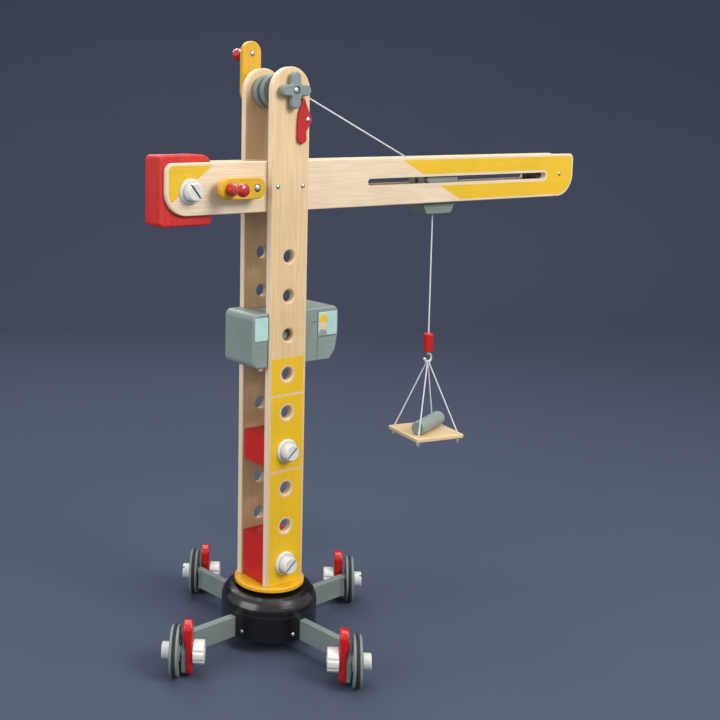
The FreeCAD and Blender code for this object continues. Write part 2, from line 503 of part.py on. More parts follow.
names = {(1, 1): "rear_right", (1, -1): "front_right", (-1, 1): "rear_left", (-1, -1): "front_left"}
bolts, nuts = [], []
for (qx, qy), nm in names.items():
    # outrigger: plank on edge from the drum to the foot plate
    arm = Part.makeBox(110.0, ARM_T, ARM_Z1 - ARM_Z0, V(52.5, -ARM_T / 2, ARM_Z0))
    arm.rotate(V(0, 0, 0), V(0, 0, 1), ARM_ANG)
    arm = arm.common(box(0, FOOT_X0 + 0.2, 0, 200, 0, 100))
    # foot plate outline in the YZ plane: round the axle, leg down, web to the arm
    ya = (FOOT_X0 + 1.5) * math.tan(math.radians(ARM_ANG))
    leg = box(FOOT_X0, FOOT_X1, WHEEL_Y - 10.5, WHEEL_Y + 10.5, 6.5, AXLE_Z)
    leg = soften(leg, 4.0, lambda k: abs(k.BoundBox.XLength - (FOOT_X1 - FOOT_X0)) < 1e-3 and k.BoundBox.ZMax < 7)
    f = leg.fuse(cyl(10.5, (FOOT_X0, WHEEL_Y, AXLE_Z), (FOOT_X1, WHEEL_Y, AXLE_Z)))
    f = f.fuse(box(FOOT_X0, FOOT_X1, ya - 6.0, WHEEL_Y, ARM_Z0, AXLE_Z + 4.5))
    f = f.fuse(box(FOOT_X0, FOOT_X1, ya - 7.2, ya + 6.0, ARM_Z0, ARM_Z1))
    out = arm.fuse(f).removeSplitter()
    out = out.cut(cyl(AXLE_R + 0.02, (FOOT_X0 - 1, WHEEL_Y, AXLE_Z), (FOOT_X1 + 1, WHEEL_Y, AXLE_Z)))
    # wheel: hub with two thin discs and a groove that holds the tyre
    w0, w1 = WHEEL_X - WHEEL_T / 2, WHEEL_X + WHEEL_T / 2
    dw = 4.6                                      # width of each disc's rim
    prof = [(AXLE_R + CLR, w0), (13.0, w0), (14.0, w0 + 1.4), (WHEEL_R - 2.0, w0 + 0.8), (WHEEL_R - 0.5, w0 + 1.4),
            (WHEEL_R, w0 + 2.3), (WHEEL_R, w0 + dw - 0.7), (WHEEL_R - 0.8, w0 + dw), (22.0, w0 + dw),
            (22.0, w1 - dw), (WHEEL_R - 0.8, w1 - dw), (WHEEL_R, w1 - dw + 0.7), (WHEEL_R, w1 - 2.3), (WHEEL_R - 0.5, w1 - 1.4),
            (WHEEL_R - 2.0, w1 - 0.8), (14.0, w1 - 1.4), (13.0, w1), (AXLE_R + CLR, w1)]
    wh = lathe(prof, (0, WHEEL_Y, AXLE_Z), (1, 0, 0))
    ty = lathe([(22.03, w0 + dw + 0.05), (TYRE_R - 1.0, w0 + dw + 0.05), (TYRE_R, w0 + dw + 1.0), (TYRE_R, w1 - dw - 1.0),
                (TYRE_R - 1.0, w1 - dw - 0.05), (22.03, w1 - dw - 0.05)], (0, WHEEL_Y, AXLE_Z), (1, 0, 0))
    # parking lever on the axle, between the foot plate and the nut
    lv0, lv1 = 91.8, 103.4
    hw = 11.5
    lev = Part.makeBox(lv1 - lv0, 2 * hw, 48.0, V(lv0, WHEEL_Y - hw, AXLE_Z - 18.0))
    lev = lev.fuse(cyl(hw, (lv0, WHEEL_Y, AXLE_Z + 30), (lv1, WHEEL_Y, AXLE_Z + 30)))
    lev = lev.fuse(cyl(hw, (lv0, WHEEL_Y, AXLE_Z - 18.0), (lv1, WHEEL_Y, AXLE_Z - 18.0))).removeSplitter()
    lev = soften(lev, 2.2, lambda k: k.BoundBox.XLength < 1e-3)
    # the lower half is thinner, so that it passes beside the foot plate
    lev = lev.cut(box(FOOT_X0 - 0.4, lv1 + 1, WHEEL_Y - 20, WHEEL_Y + 20, AXLE_Z - 40, AXLE_Z + 15.0))
    lev = lev.cut(cyl(AXLE_R + CLR, (lv0 - 1, WHEEL_Y, AXLE_Z), (lv1 + 1, WHEEL_Y, AXLE_Z)))
    # the slotted wheel bolt and its nut
    bolt = lathe([(0, w1 + 0.5), (10.3, w1 + 0.5), (10.6, w1 + 1.0), (10.5, w1 + 9.6), (9.6, w1 + 10.7), (0, w1 + 10.7)],
                 (0, WHEEL_Y, AXLE_Z), (1, 0, 0))
    bolt = bolt.fuse(cyl(AXLE_R, (76.2, WHEEL_Y, AXLE_Z), (w1 + 1, WHEEL_Y, AXLE_Z))).removeSplitter()
    bolt = bolt.cut(slot_cut((w1 + 10.7, WHEEL_Y, AXLE_Z), (1, 0, 0), 10.8, 2.6, 2.2))
    nut = knob_nut(15.2, AXLE_R + 0.02, 14.7, (76.7, WHEEL_Y, AXLE_Z), (1, 0, 0))

    def place(s):
        s = s.copy()
        if qx < 0:
            s = s.mirror(V(0, 0, 0), V(1, 0, 0))
        if qy < 0:
            s = s.mirror(V(0, 0, 0), V(0, 1, 0))
        return turned(s)

    save("outrigger_" + nm, place(out))
    save("wheel_" + nm, place(wh))
    save("tyre_" + nm, place(ty))
    save("parking_lever_" + nm, place(lev))
    bolts.append(place(bolt))
    nuts.append(place(nut))
save("wheel_bolts", *bolts)
save("wheel_nuts", *nuts)

# ------------------------------------------------------------- slewing pivot
disc = lathe([(4.0 + CLR, DISC_Z0), (DISC_R - 1.2, DISC_Z0), (DISC_R, DISC_Z0 + 1.2), (DISC_R, DISC_Z1 - 1.2),
              (DISC_R - 1.2, DISC_Z1), (4.0 + CLR, DISC_Z1)], (0, 0, 0), (0, 0, 1))
save("turntable_disc", disc)
save("slewing_washer", lathe([(4.0 + CLR, DRUM_Z1 + 0.02), (30, DRUM_Z1 + 0.02), (30, DISC_Z0 - 0.05), (4.0 + CLR, DISC_Z0 - 0.05)],
                             (0, 0, 0), (0, 0, 1)))
pb = lathe([(0, 46.0), (7.5, 46.0), (8.0, 46.6), (8.0, 51.9), (4.0, 51.9), (4.0, 96.5), (3.4, 97.2), (0, 97.2)], (0, 0, 0), (0, 0, 1))
save("slewing_bolt", pb)
save("slewing_nut", lathe([(4.02, DISC_Z1 + 0.3), (8.5, DISC_Z1 + 0.3), (9.0, DISC_Z1 + 0.9), (9.0, DISC_Z1 + 6.4),
                           (8.5, DISC_Z1 + 7.0), (4.02, DISC_Z1 + 7.0)], (0, 0, 0), (0, 0, 1)))
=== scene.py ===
import bpy, bmesh, math, random
from mathutils import Vector, Matrix


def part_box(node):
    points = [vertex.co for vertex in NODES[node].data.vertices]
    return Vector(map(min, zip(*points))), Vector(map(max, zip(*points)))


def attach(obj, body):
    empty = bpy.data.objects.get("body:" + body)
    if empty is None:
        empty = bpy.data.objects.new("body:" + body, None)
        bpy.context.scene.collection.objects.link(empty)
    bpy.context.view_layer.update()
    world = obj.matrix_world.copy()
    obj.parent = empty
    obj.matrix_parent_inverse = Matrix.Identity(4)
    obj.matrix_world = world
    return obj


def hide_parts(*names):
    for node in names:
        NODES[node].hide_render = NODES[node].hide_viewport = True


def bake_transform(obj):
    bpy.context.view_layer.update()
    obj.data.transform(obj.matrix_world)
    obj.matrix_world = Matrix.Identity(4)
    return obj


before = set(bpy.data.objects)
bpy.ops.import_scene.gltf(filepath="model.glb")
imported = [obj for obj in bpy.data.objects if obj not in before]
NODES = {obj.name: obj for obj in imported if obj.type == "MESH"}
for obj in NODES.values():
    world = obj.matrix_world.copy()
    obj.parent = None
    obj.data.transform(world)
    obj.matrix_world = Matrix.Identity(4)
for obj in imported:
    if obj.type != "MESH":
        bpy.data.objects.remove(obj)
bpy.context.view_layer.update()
MM = 0.001


# ---------------------------------------------------------------- colours
def lin(c):
    return c / 12.92 if c <= 0.04045 else ((c + 0.055) / 1.055) ** 2.4


def rgb(r, g, b):
    return (lin(r / 255.0), lin(g / 255.0), lin(b / 255.0), 1.0)


# ------------------------------------------------- a small node-tree builder
class S:
    """A socket with arithmetic."""

    def __init__(s, m, sock):
        s.m, s.k = m, sock

    def _op(s, op, o, rev=False):
        return s.m.math(op, o, s) if rev else s.m.math(op, s, o)

    def __add__(s, o): return s._op("ADD", o)
    def __radd__(s, o): return s._op("ADD", o)
    def __sub__(s, o): return s._op("SUBTRACT", o)
    def __rsub__(s, o): return s._op("SUBTRACT", o, True)
    def __mul__(s, o): return s._op("MULTIPLY", o)
    def __rmul__(s, o): return s._op("MULTIPLY", o)
    def __truediv__(s, o): return s._op("DIVIDE", o)
    def __neg__(s): return s._op("MULTIPLY", -1.0)


class Mat:
    def __init__(s, name):
        s.mat = bpy.data.materials.new(name)
        s.mat.use_nodes = True
        s.t = s.mat.node_tree
        s.t.nodes.clear()
        s.out = s.t.nodes.new("ShaderNodeOutputMaterial")
        s.b = s.t.nodes.new("ShaderNodeBsdfPrincipled")
        s.t.links.new(s.b.outputs[0], s.out.inputs[0])
        tc = s.t.nodes.new("ShaderNodeTexCoord")
        s.co = S(s, tc.outputs["Object"])
        s._xyz = None

    def put(s, sock, v):
        if isinstance(v, S):
            s.t.links.new(v.k, sock)
        elif v is not None:
            if hasattr(sock, "default_value"):
                if sock.type == "RGBA" and isinstance(v, (int, float)):
                    v = (v, v, v, 1)
                sock.default_value = v

    def math(s, op, a, b=None, c=None, clamp=False):
        n = s.t.nodes.new("ShaderNodeMath")
        n.operation = op
        n.use_clamp = clamp
        s.put(n.inputs[0], a)
        if b is not None: s.put(n.inputs[1], b)
        if c is not None: s.put(n.inputs[2], c)
        return S(s, n.outputs[0])

    def mn(s, a, b): return s.math("MINIMUM", a, b)
    def mx(s, a, b): return s.math("MAXIMUM", a, b)
    def ab(s, a): return s.math("ABSOLUTE", a)
    def sq(s, a): return s.math("SQRT", a)

    def step(s, x, lo, hi):
        """0 below lo, 1 above hi, smooth between."""
        n = s.t.nodes.new("ShaderNodeMapRange")
        n.interpolation_type = "SMOOTHSTEP"
        s.put(n.inputs["Value"], x)
        n.inputs["From Min"].default_value = lo
        n.inputs["From Max"].default_value = hi
        n.inputs["To Min"].default_value = 0
        n.inputs["To Max"].default_value = 1
        return S(s, n.outputs[0])

    def xyz(s):
        if s._xyz is None:
            n = s.t.nodes.new("ShaderNodeSeparateXYZ")
            s.put(n.inputs[0], s.co)
            s._xyz = [S(s, n.outputs[i]) for i in range(3)]
        return s._xyz

    def vec(s, x, y, z):
        n = s.t.nodes.new("ShaderNodeCombineXYZ")
        for i, v in enumerate((x, y, z)): s.put(n.inputs[i], v)
        return S(s, n.outputs[0])

    def scaled(s, v, sc, off=(0, 0, 0), rot=(0, 0, 0)):
        n = s.t.nodes.new("ShaderNodeMapping")
        s.put(n.inputs["Vector"], v)
        n.inputs["Scale"].default_value = sc
        n.inputs["Location"].default_value = off
        n.inputs["Rotation"].default_value = rot
        return S(s, n.outputs[0])

    def noise(s, v, scale, detail=3.0, rough=0.55, dist=0.0):
        n = s.t.nodes.new("ShaderNodeTexNoise")
        s.put(n.inputs["Vector"], v)
        n.inputs["Scale"].default_value = scale
        n.inputs["Detail"].default_value = detail
        n.inputs["Roughness"].default_value = rough
        n.inputs["Distortion"].default_value = dist
        return S(s, n.outputs[0])

    def mix(s, f, a, b, mode="MIX"):
        n = s.t.nodes.new("ShaderNodeMix")
        n.data_type = "RGBA"
        n.blend_type = mode
        n.clamp_factor = True
        s.put(n.inputs[0], f)
        s.put(n.inputs[6], a)
        s.put(n.inputs[7], b)
        return S(s, n.outputs[2])

    def normal(s):
        n = s.t.nodes.new("ShaderNodeNewGeometry")
        m = s.t.nodes.new("ShaderNodeVectorTransform")
        m.vector_type = "NORMAL"
        m.convert_from = "WORLD"
        m.convert_to = "OBJECT"
        s.put(m.inputs[0], S(s, n.outputs["True Normal"]))
        k = s.t.nodes.new("ShaderNodeSeparateXYZ")
        s.put(k.inputs[0], S(s, m.outputs[0]))
        return [S(s, k.outputs[i]) for i in range(3)]

    def bevel(s, r):
        n = s.t.nodes.new("ShaderNodeBevel")
        n.samples = 6
        n.inputs["Radius"].default_value = r
        return S(s, n.outputs[0])

    def edge(s, r):
        """About 0 on flat faces, towards 1 on edges of radius r."""
        b = s.bevel(r)
        g = s.t.nodes.new("ShaderNodeNewGeometry")
        d = s.t.nodes.new("ShaderNodeVectorMath")
        d.operation = "DOT_PRODUCT"
        s.put(d.inputs[0], b)
        s.put(d.inputs[1], S(s, g.outputs["Normal"]))
        return s.math("SUBTRACT", 1.0, S(s, d.outputs["Value"]), clamp=True)

    def painted_shade_mask(s, dist, lo=0.35, hi=0.92, local=True):
        """1 in crevices narrower than dist, 0 on open faces: the mask for painted shade."""
        n = s.t.nodes.new("ShaderNodeAmbientOcclusion")
        n.samples = 8
        n.only_local = local
        n.inputs["Distance"].default_value = dist
        return 1.0 - s.step(S(s, n.outputs["AO"]), lo, hi)

    def bump(s, height, dist, strength=1.0, soft=0.0):
        n = s.t.nodes.new("ShaderNodeBump")
        n.inputs["Strength"].default_value = strength
        n.inputs["Distance"].default_value = dist
        s.put(n.inputs["Height"], height)
        if soft:
            s.put(n.inputs["Normal"], s.bevel(soft))
        s.put(s.b.inputs["Normal"], S(s, n.outputs[0]))

    def set(s, **kw):
        names = {"color": "Base Color", "rough": "Roughness", "metal": "Metallic", "coat": "Coat Weight",
                 "coat_rough": "Coat Roughness", "spec": "Specular IOR Level", "sheen": "Sheen Weight",
                 "sub": "Subsurface Weight"}
        for k, v in kw.items():
            s.put(s.b.inputs[names[k]], v)
        return s


# ------------------------------------------------------------------ materials
def grain_fields(m, axis, seed, turn=0.0):
    """Fields of a plank of fine-grained hardwood; axis is the grain direction."""
    sc = {"x": (1, 1, 1), "y": (1, 1, 1), "z": (1, 1, 1)}[axis]
    v = m.co
    if turn:
        v = m.scaled(v, (1, 1, 1), rot=(0, 0, math.radians(turn)))
    v = m.scaled(v, sc, off=(seed * 1.7, seed * 0.9, seed * 2.3))
    long2 = {"x": (0.02, 1, 1), "y": (1, 0.02, 1), "z": (1, 1, 0.02)}[axis]
    vl = m.scaled(v, long2)
    fl = m.scaled(v, {"x": (0.16, 1, 1), "y": (1, 0.16, 1), "z": (1, 1, 0.16)}[axis])
    rings = m.noise(m.scaled(v, {"x": (0.035, 1, 1), "y": (1, 0.035, 1), "z": (1, 1, 0.035)}[axis]), 120.0, 2.0, 0.5, 0.2)
    bands = m.math("SINE", rings * 40.0)
    bands = m.step(bands, -0.9, 1.0)
    fibre = m.noise(vl, 1700.0, 3.0, 0.6)
    fleck = m.step(m.noise(fl, 1250.0, 1.0, 0.5), 0.66, 0.76)
    tone = m.noise(v, 9.0, 2.0)
    return bands, fibre, fleck, tone


def wood_colour(m, axis, seed, light=(225, 197, 153), dark=(194, 156, 108), turn=0.0):
    bands, fibre, fleck, tone = grain_fields(m, axis, seed, turn)
    mid = tuple((a + b) / 2 for a, b in zip(light, dark))
    c = m.mix(m.step(tone, 0.3, 0.7), rgb(*light), rgb(*[0.72 * a + 0.28 * b for a, b in zip(light, dark)]))
    c = m.mix(bands * 0.30, c, rgb(*dark))
    c = m.mix(m.step(fibre, 0.35, 0.75) * 0.16, c, rgb(*[k * 0.80 for k in mid]))
    c = m.mix(fleck * 0.30, c, rgb(*[k * 0.70 for k in dark]))
    h = fibre * 0.6 + bands * 0.25 - fleck * 0.5
    return c, h, (bands, fibre, fleck, tone)


def plain_wood(name, axis, seed, turn=0.0, **kw):
    m = Mat(name)
    c, h, (bands, fibre, fleck, tone) = wood_colour(m, axis, seed, turn=turn, **kw)
    e = m.edge(1.2 * MM)
    # edges lighter: partly worn wood, partly a painted highlight
    c = m.mix(m.step(e, 0.03, 0.25) * 0.22, c, rgb(248, 230, 200))
    m.set(color=c, rough=0.46 + fibre * 0.16, coat=0.12, coat_rough=0.35)
    m.bump(h, 0.00005, 0.55, 0.5 * MM)
    return m


def painted_wood(name, axis, seed, col, streak=0.22, rough=0.34, turn=0.0, lighter=None, coat=0.2, edge=0.45):
    """Wood with a coloured glaze: grain still reads through it, edges rub lighter and carry a painted highlight,
    crevices get painted shade.
    """
    m = Mat(name)
    bands, fibre, fleck, tone = grain_fields(m, axis, seed, turn)
    hi = lighter or tuple(min(255, k * 1.18 + 10) for k in col)
    lo = tuple(k * 0.82 for k in col)
    c = m.mix(m.step(tone, 0.25, 0.75) * 0.5, rgb(*col), rgb(*lo))
    c = m.mix(bands * streak, c, rgb(*hi))
    c = m.mix(m.step(fibre, 0.4, 0.8) * streak * 0.7, c, rgb(*hi))
    c = m.mix(fleck * 0.22, c, rgb(*lo))
    scuff_and_highlight = m.noise(m.co, 260.0, 4.0, 0.7)
    e = m.edge(1.4 * MM)
    # edges lighter: partly rubbed wear, partly a painted highlight
    c = m.mix(m.step(e + (scuff_and_highlight - 0.5) * 0.25, 0.10, 0.42) * edge, c, rgb(*hi))
    # painted shade: the glaze darkens in crevices and where other parts come close
    c = m.mix(m.painted_shade_mask(5 * MM, local=False) * 0.45, c, rgb(*[k * 0.45 for k in col]))
    m.set(color=c, rough=rough + scuff_and_highlight * 0.14, coat=coat, coat_rough=0.22)
    m.bump(fibre * 0.6 - fleck * 0.4 + bands * 0.2, 0.00006, 0.5, 0.7 * MM)
    return m


def plastic(name, col, rough=0.35, coat=0.0, speck=0.06, sub=0.0, wear_and_highlight=0.35, soft=0.5, painted_shade_amount=0.55, reach=3.0):
    m = Mat(name)
    n1 = m.noise(m.co, 900.0, 3.0, 0.6)
    n2 = m.noise(m.co, 35.0, 3.0, 0.6)
    sc = m.noise(m.scaled(m.co, (1, 1, 0.12)), 420.0, 4.0, 0.75)
    lo = tuple(k * 0.86 for k in col)
    hi = tuple(min(255, k * 1.14 + 14) for k in col)
    c = m.mix(m.step(n2, 0.3, 0.7) * 0.45, rgb(*col), rgb(*lo))
    c = m.mix(m.step(n1, 0.5, 0.8) * speck, c, rgb(*hi))
    e = m.edge(0.9 * MM)
    # edges lighter: partly rubbed wear, partly a painted highlight
    c = m.mix(m.step(e + (sc - 0.5) * 0.3, 0.08, 0.4) * wear_and_highlight, c, rgb(*hi))
    # painted shade: the plastic colour darkens in crevices
    if painted_shade_amount:
        c = m.mix(m.painted_shade_mask(reach * MM, 0.30, 0.85) * painted_shade_amount, c, rgb(*[k * 0.30 for k in col]))
    m.set(color=c, rough=rough + n2 * 0.12 + m.step(sc, 0.62, 0.75) * 0.12, coat=coat, coat_rough=0.12, sub=sub)
    if sub:
        m.b.inputs["Subsurface Radius"].default_value = (0.002, 0.002, 0.002)
    m.bump(n1 * 0.6 + sc * 0.5, 0.00003, 0.5, soft * MM)
    return m


def steel(name, col=(200, 203, 206), rough=0.26, metal=1.0):
    m = Mat(name)
    n = m.noise(m.scaled(m.co, (1, 1, 0.1)), 2400.0, 3.0)
    n2 = m.noise(m.co, 300.0, 3.0)
    c = m.mix(m.step(n2, 0.35, 0.7) * 0.4, rgb(*col), rgb(*[k * 0.72 for k in col]))
    # painted shade: the steel darkens in crevices such as screw slots
    c = m.mix(m.painted_shade_mask(0.9 * MM, 0.35, 0.80) * 0.85, c, rgb(40, 38, 36))
    m.set(color=c, rough=rough + n * 0.16, metal=metal)
    m.bump(n, 0.00002, 0.5, 0.3 * MM)
    return m


def rubber(name):
    m = Mat(name)
    n = m.noise(m.co, 700.0, 4.0, 0.65)
    n2 = m.noise(m.co, 60.0, 2.0)
    c = m.mix(m.step(n2, 0.3, 0.7) * 0.6, rgb(30, 30, 31), rgb(46, 45, 44))
    c = m.mix(m.step(n, 0.62, 0.8) * 0.35, c, rgb(88, 84, 78))
    m.set(color=c, rough=0.72 + n * 0.2)
    m.bump(n, 0.00006, 0.6, 0.5 * MM)
    return m


def cord_mat(name, pitch=4.0 * MM):
    """Three-strand laid cord: slanted strand shading from the UV map."""
    m = Mat(name)
    uv = m.t.nodes.new("ShaderNodeUVMap")
    k = m.t.nodes.new("ShaderNodeSeparateXYZ")
    m.t.links.new(uv.outputs[0], k.inputs[0])
    u, v = S(m, k.outputs[0]), S(m, k.outputs[1])
    s = m.math("SINE", (u * 3.0 + v / pitch) * (2 * math.pi))
    tw = m.step(s, -1.0, 0.5)
    fz = m.noise(m.co, 2600.0, 2.0)
    c = m.mix(tw, rgb(186, 187, 190), rgb(236, 237, 238))
    c = m.mix(m.step(fz, 0.55, 0.75) * 0.25, c, rgb(200, 201, 203))
    m.set(color=c, rough=0.85, sheen=0.3)
    m.bump(tw + fz * 0.3, 0.00025, 0.8)
    return m


def assign(node, mat):
    o = NODES[node] if isinstance(node, str) else node
    if not o.data.materials:
        o.data.materials.append(mat.mat)
    for sl in o.material_slots:
        sl.link = "OBJECT"
        sl.material = mat.mat
    for i in range(len(o.material_slots)):
        o.material_slots[i].material = mat.mat


YEL = (226, 182, 22)
RED = (196, 18, 12)
GRY = (131, 144, 137)


def paint_over(m, base, h, mask, axis, seed, col=YEL):
    """Yellow glaze where mask is 1, over the wood colour."""
    bands, fibre, fleck, tone = grain_fields(m, axis, seed + 3)
    lo = tuple(k * 0.90 for k in col)
    hi = (236, 196, 52)
    p = m.mix(m.step(tone, 0.3, 0.7) * 0.5, rgb(*col), rgb(*lo))
    p = m.mix(bands * 0.16, p, rgb(*hi))
    p = m.mix(fleck * 0.18, p, rgb(198, 150, 26))
    return m.mix(mask, base, p)


def mast_plank_mat(node, seed):
    m = Mat("paint_" + node)
    lo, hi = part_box(node)
    c, h, (bands, fibre, fleck, tone) = wood_colour(m, "z", seed)
    x, y, z = m.xyz()
    nx, ny, nz = m.normal()
    ztop = hi.z
    wz = m.noise(m.co, 420.0, 2.0) - 0.5
    # paint limits taken from the plank's own box: holes sit on a fixed pitch
    zc = ztop - 0.3745          # top of the painted field
    z0 = lo.z
    top = m.step(zc - z + wz * 0.0006, -0.0002, 0.0002)
    dx = 0.0302 - m.ab(x)
    side = m.step(dx + wz * 0.0005, 0.0036, 0.0040)
    hole1 = ztop - 0.2418       # highest hole
    t = (hole1 - z) / 0.0515
    fr = t - m.math("ROUND", t)
    dz = fr * 0.0515
    d = m.sq(x * x + dz * dz)
    ring = m.step(d + wz * 0.0006, 0.0122, 0.0127)
    l1 = m.step(m.ab(z - (ztop - 0.4237)) + wz * 0.0004, 0.0014, 0.0018)
    l2 = m.step(m.ab(z - (ztop - 0.5261)) + wz * 0.0004, 0.0014, 0.0018)
    sgn = -1.0 if lo.y < 0 else 1.0
    face = m.step(ny * sgn, 0.90, 0.98)
    mask = top * side * ring * l1 * l2 * face
    e = m.edge(1.4 * MM)
    # painted highlight: the plank's narrow side and top faces are painted lighter
    flank_highlight = (1.0 - m.step(m.ab(ny), 0.3, 0.6)) * m.step(m.mx(m.ab(x) - 0.026, z - ztop + 0.032), 0.0, 0.001)
    c = m.mix(flank_highlight * 0.55, c, rgb(238, 222, 196))
    # edges lighter: partly worn wood, partly a painted highlight
    c = m.mix(m.step(e, 0.02, 0.20) * 0.50, c, rgb(244, 230, 206))
    c = paint_over(m, c, h, mask, "z", seed)
    m.set(color=c, rough=0.46 + fibre * 0.14 - mask * 0.12, coat=0.12, coat_rough=0.3)
    m.bump(h * 0.8 + mask * 1.6, 0.00006, 0.6, 0.5 * MM)
    return m


def jib_plank_mat(node, seed):
    m = Mat("paint_" + node)
    lo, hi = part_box(node)
    c, h, (bands, fibre, fleck, tone) = wood_colour(m, "x", seed, light=(228, 209, 180), dark=(202, 174, 136))
    x, y, z = m.xyz()
    nx, ny, nz = m.normal()
    wz = m.noise(m.co, 420.0, 2.0) - 0.5
    cx, cz = (lo.x + hi.x) / 2, (lo.z + hi.z) / 2
    hx, hz = (hi.x - lo.x) / 2, (hi.z - lo.z) / 2
    up = m.step(z - cz, 0.0, 0.0001)                  # 1 above the middle
    tip = m.step(x - cx, 0.0, 0.0001)                 # 1 towards the tip
    r = (0.030 + tip * 0.004) * (1.0 - up) + (0.011 - tip * 0.003) * up
    qx = m.ab(x - cx) - hx + r
    qz = m.ab(z - cz) - hz + r
    ax, az = m.mx(qx, 0.0), m.mx(qz, 0.0)
    sd = m.mn(m.mx(qx, qz), 0.0) + m.sq(ax * ax + az * az) - r     # negative inside
    inside = m.step(-sd + wz * 0.0005, 0.0034, 0.0038)
    sc, sh = (0.1408 + 0.503) / 2, (0.503 - 0.1408) / 2
    kx = m.mx(m.ab(x - sc) - (sh - 0.0048), 0.0)
    kz = z - 0.6177
    slot = m.step(m.sq(kx * kx + kz * kz) + wz * 0.0005, 0.0082, 0.0087)
    # right field: behind a line that leans to the right going down
    right = m.step(x - (0.2055 + (0.6460 - z) * 1.968) + wz * 0.001, -0.0003, 0.0003)
    left = m.step((-0.1135 - (0.6462 - z) * 1.347) - x + wz * 0.001, -0.0003, 0.0003)
    sgn = -1.0 if lo.y < 0 else 1.0
    face = m.step(ny * sgn, 0.90, 0.98)
    mask = inside * slot * m.mx(right, left) * face
    e = m.edge(1.4 * MM)
    # edges lighter: partly worn wood, partly a painted highlight
    c = m.mix(m.step(e, 0.02, 0.20) * 0.45, c, rgb(246, 234, 212))
    c = paint_over(m, c, h, mask, "x", seed)
    m.set(color=c, rough=0.46 + fibre * 0.14 - mask * 0.12, coat=0.12, coat_rough=0.3)
    m.bump(h * 0.8 + mask * 1.6, 0.00006, 0.6, 0.5 * MM)
    return m


for i, n in enumerate(("mast_plank_front", "mast_plank_back")):
    assign(n, mast_plank_mat(n, 1.0 + 3.1 * i))
for i, n in enumerate(("jib_plank_front", "jib_plank_back")):
    assign(n, jib_plank_mat(n, 2.2 + 2.7 * i))
assign("jib_tip_spacer", plain_wood("spacer_wood", "x", 6.0))
assign("load_platform", plain_wood("platform_wood", "x", 8.0, turn=12.5))
assign("turntable_disc", painted_wood("disc_yellow", "x", 4.0, (226, 166, 22), 0.14, 0.32))
assign("winch_crank_arm", painted_wood("winch_arm_yellow", "z", 5.0, (214, 164, 14), 0.14, 0.38, lighter=(230, 186, 48), coat=0.08))
assign("trolley_crank_arm", painted_wood("trolley_arm_yellow", "x", 5.5, (218, 170, 14), 0.14, 0.38, lighter=(232, 190, 48), coat=0.08))
assign("counterweight", painted_wood("counterweight_red", "z", 7.0, RED, 0.48, 0.46, lighter=(208, 46, 32), coat=0.05))
assign("lower_spacer_block", painted_wood("spacer_red_low", "z", 9.0, RED, 0.16, 0.44, lighter=(216, 38, 24), coat=0.05))
assign("middle_spacer_block", painted_wood("spacer_red_mid", "z", 11.0, RED, 0.16, 0.44, lighter=(216, 38, 24), coat=0.05))
assign("winch_crank_knob", painted_wood("knob_red_back", "y", 12.0, (176, 14, 22), 0.08, 0.16, coat=0.8, edge=0.1))
assign("trolley_crank_knob", painted_wood("knob_red_front", "y", 13.0, (176, 14, 22), 0.08, 0.16, coat=0.8, edge=0.1))
assign("hook_weight", painted_wood("weight_red", "z", 14.0, (196, 16, 10), 0.12, 0.24, coat=0.5, edge=0.2))
red_l = plastic("lever_red", (192, 14, 10), 0.26, 0.4, 0.03, wear_and_highlight=0.15)
for q in ("front_left", "front_right", "rear_left", "rear_right"):
    assign("parking_lever_" + q, red_l)
assign("pawl", plastic("pawl_red", (182, 10, 8), 0.34, 0.15, 0.03, wear_and_highlight=0.15))
assign("cab", painted_wood("cab_grey", "x", 15.0, GRY, 0.08, 0.42, lighter=(168, 180, 173)))
assign("trolley", painted_wood("trolley_grey", "x", 16.0, (118, 132, 122), 0.14, 0.42, lighter=(152, 166, 154)))
assign("load_log", painted_wood("log_grey", "x", 17.0, (132, 146, 138), 0.16, 0.44, lighter=(166, 180, 170), turn=-21))
gp = plastic("grey_moulded", (120, 132, 128), 0.44, 0.05, 0.10)
for q in ("front_left", "front_right", "rear_left", "rear_right"):
    assign("wheel_" + q, gp)
    assign("outrigger_" + q, gp)
assign("winch_spool", plastic("spool_grey", (120, 132, 130), 0.42, 0.05, 0.10, painted_shade_amount=0.7, reach=6.0))
assign("ratchet_cross", plastic("cross_grey", (122, 136, 134), 0.40, 0.08, 0.10, painted_shade_amount=0.7, reach=4.0))
blk = plastic("drum_black", (14, 13, 11), 0.22, 0.40, 0.05, wear_and_highlight=0.10)
drum = plastic("drum_gloss", (14, 13, 11), 0.22, 0.40, 0.05, wear_and_highlight=0.10)
dlo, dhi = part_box("base_drum")
zz = drum.xyz()[2]
part_z = dlo.z + 0.60 * (dhi.z - dlo.z)
seam = 1.0 - drum.step(drum.ab(zz - part_z), 0.0002, 0.0007)
old = drum.b.inputs["Base Color"].links[0].from_socket
drum.set(color=drum.mix(seam * 0.7, S(drum, old), rgb(58, 55, 50)))
assign("base_drum", drum)
assign("slewing_washer", plastic("washer_black", (20, 20, 21), 0.5, 0.0, 0.05))
dk = plastic("roller_dark", (38, 38, 40), 0.4, 0.1, 0.05)
for n in ("jib_end_roller", "trolley_reel"):
    assign(n, dk)
wh = plastic("bolt_white", (218, 217, 211), 0.30, 0.15, 0.05, wear_and_highlight=0.5, painted_shade_amount=0.62, reach=4.5)
for n in ("mast_bolts", "frame_nuts", "counterweight_bolt", "wheel_bolts", "wheel_nuts"):
    assign(n, wh)
st = steel("zinc_steel")
for n in ("winch_shaft", "frame_screws", "winch_crank_screw", "trolley_crank_screw", "pawl_screw", "drum_screws",
          "ratchet_screw", "slewing_bolt", "slewing_nut", "trolley_guide_pin"):
    assign(n, st)
assign("hook", steel("hook_wire", (232, 232, 226), 0.38, 0.55))
